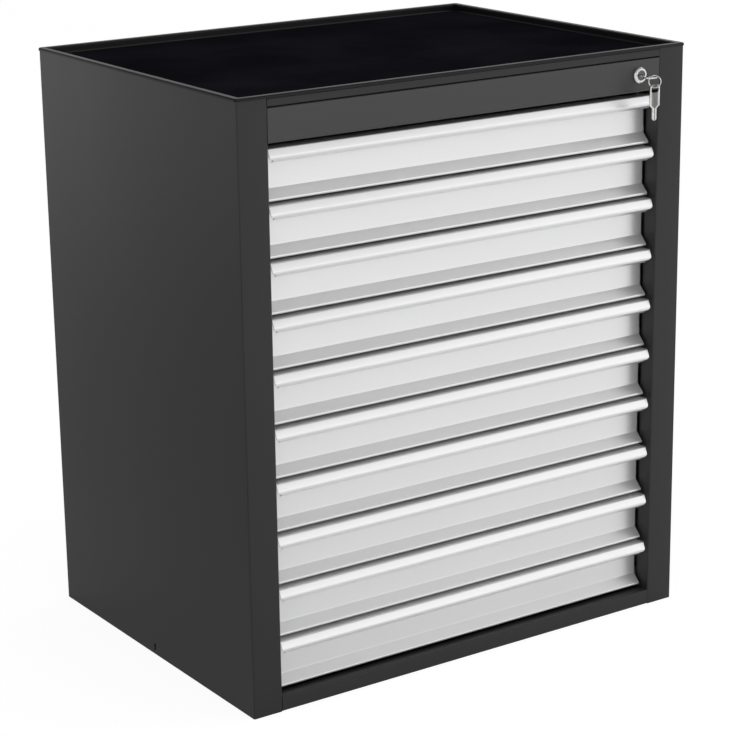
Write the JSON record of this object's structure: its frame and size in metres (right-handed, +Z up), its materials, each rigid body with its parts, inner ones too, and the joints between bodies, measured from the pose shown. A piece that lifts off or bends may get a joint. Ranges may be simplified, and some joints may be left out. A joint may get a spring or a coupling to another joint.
{
  "type": "workshop drawer cabinet",
  "caption": "Floor-standing steel cabinet with a stack of full-width shallow drawers, lipped fronts, a tray top with a mat and one key lock for the whole stack.",
  "frame": {"origin": "on the floor, at the middle of the body's footprint", "axes": "+X to the right seen from the front, the drawers open towards -Y, +Z up"},
  "size_m": [0.724, 0.5683, 0.821],
  "materials": {
    "body_paint": "dark grey powder coat, satin",
    "drawer_paint": "light grey powder coat, satin",
    "tray_paint": "light grey powder coat, satin",
    "runner_steel": "zinc plated",
    "roller_plastic": "natural nylon",
    "tray_black": "black, fine grain",
    "mat_rubber": "black, matt",
    "lock_chrome": "polished",
    "key_steel": "nickel plated"
  },
  "bodies": {
    "carcass": {"side_panel_left": "body_paint", "side_panel_right": "body_paint", "back_panel": "body_paint", "base_panel": "body_paint", "roof_panel": "body_paint", "lock_rail": "body_paint", "top_tray": "tray_black", "top_mat": "mat_rubber", "runner_posts": "runner_steel", "runner_channels": "runner_steel", "channel_rollers": "roller_plastic", "lock_housing": "lock_chrome", "bar_guides": "runner_steel"},
    "lock": {"lock_plug": "lock_chrome", "lock_cam": "key_steel"},
    "key": {"key": "key_steel"},
    "ring": {"key_ring": "key_steel"},
    "spare": {"spare_key": "key_steel"},
    "bar": {"lock_bar": "runner_steel", "bar_lugs": "runner_steel"},
    "drawer_01": {"drawer_01_front": "drawer_paint", "drawer_01_tray": "tray_paint", "drawer_01_runners": "runner_steel", "drawer_01_rollers": "roller_plastic"},
    "drawer_02": {"drawer_02_front": "drawer_paint", "drawer_02_tray": "tray_paint", "drawer_02_runners": "runner_steel", "drawer_02_rollers": "roller_plastic"},
    "drawer_03": {"drawer_03_front": "drawer_paint", "drawer_03_tray": "tray_paint", "drawer_03_runners": "runner_steel", "drawer_03_rollers": "roller_plastic"},
    "drawer_04": {"drawer_04_front": "drawer_paint", "drawer_04_tray": "tray_paint", "drawer_04_runners": "runner_steel", "drawer_04_rollers": "roller_plastic"},
    "drawer_05": {"drawer_05_front": "drawer_paint", "drawer_05_tray": "tray_paint", "drawer_05_runners": "runner_steel", "drawer_05_rollers": "roller_plastic"},
    "drawer_06": {"drawer_06_front": "drawer_paint", "drawer_06_tray": "tray_paint", "drawer_06_runners": "runner_steel", "drawer_06_rollers": "roller_plastic"},
    "drawer_07": {"drawer_07_front": "drawer_paint", "drawer_07_tray": "tray_paint", "drawer_07_runners": "runner_steel", "drawer_07_rollers": "roller_plastic"},
    "drawer_08": {"drawer_08_front": "drawer_paint", "drawer_08_tray": "tray_paint", "drawer_08_runners": "runner_steel", "drawer_08_rollers": "roller_plastic"},
    "drawer_09": {"drawer_09_front": "drawer_paint", "drawer_09_tray": "tray_paint", "drawer_09_runners": "runner_steel", "drawer_09_rollers": "roller_plastic"},
    "drawer_10": {"drawer_10_front": "drawer_paint", "drawer_10_tray": "tray_paint", "drawer_10_runners": "runner_steel", "drawer_10_rollers": "roller_plastic"}
  },
  "joints": [
    {"name": "drawer_01_slide", "type": "slide", "parent": "carcass", "child": "drawer_01", "axis": [0, -1, 0], "range_m": [0, 0.42]},
    {"name": "drawer_02_slide", "type": "slide", "parent": "carcass", "child": "drawer_02", "axis": [0, -1, 0], "range_m": [0, 0.42]},
    {"name": "drawer_03_slide", "type": "slide", "parent": "carcass", "child": "drawer_03", "axis": [0, -1, 0], "range_m": [0, 0.42]},
    {"name": "drawer_04_slide", "type": "slide", "parent": "carcass", "child": "drawer_04", "axis": [0, -1, 0], "range_m": [0, 0.42]},
    {"name": "drawer_05_slide", "type": "slide", "parent": "carcass", "child": "drawer_05", "axis": [0, -1, 0], "range_m": [0, 0.42]},
    {"name": "drawer_06_slide", "type": "slide", "parent": "carcass", "child": "drawer_06", "axis": [0, -1, 0], "range_m": [0, 0.42]},
    {"name": "drawer_07_slide", "type": "slide", "parent": "carcass", "child": "drawer_07", "axis": [0, -1, 0], "range_m": [0, 0.42]},
    {"name": "drawer_08_slide", "type": "slide", "parent": "carcass", "child": "drawer_08", "axis": [0, -1, 0], "range_m": [0, 0.42]},
    {"name": "drawer_09_slide", "type": "slide", "parent": "carcass", "child": "drawer_09", "axis": [0, -1, 0], "range_m": [0, 0.42]},
    {"name": "drawer_10_slide", "type": "slide", "parent": "carcass", "child": "drawer_10", "axis": [0, -1, 0], "range_m": [0, 0.42]},
    {"name": "lock_turn", "type": "hinge", "parent": "carcass", "child": "lock", "pos_m": [0.28, -0.265, 0.784], "axis": [0, 1, 0], "range_deg": [0, 90]},
    {"name": "bar_lift", "type": "slide", "parent": "carcass", "child": "bar", "axis": [0, 0, 1], "range_m": [0, 0.01]},
    {"name": "key_pull", "type": "slide", "parent": "lock", "child": "key", "axis": [0, -1, 0], "range_m": [0, 0.022]},
    {"name": "ring_hang", "type": "hinge", "parent": "key", "child": "ring", "pos_m": [0.28, -0.291, 0.784], "axis": [0, 1, 0], "range_deg": [-90, 0]},
    {"name": "spare_swing", "type": "hinge", "parent": "ring", "child": "spare", "pos_m": [0.28268, -0.29478, 0.77032], "axis": [1, 0, 0], "range_deg": [-20, 15]}
  ],
  "couplings": [
    {"joint": "lock_turn", "follows": "bar_lift", "rad_per_m": 157.08},
    {"joint": "ring_hang", "follows": "bar_lift", "rad_per_m": -157.08}
  ]
}
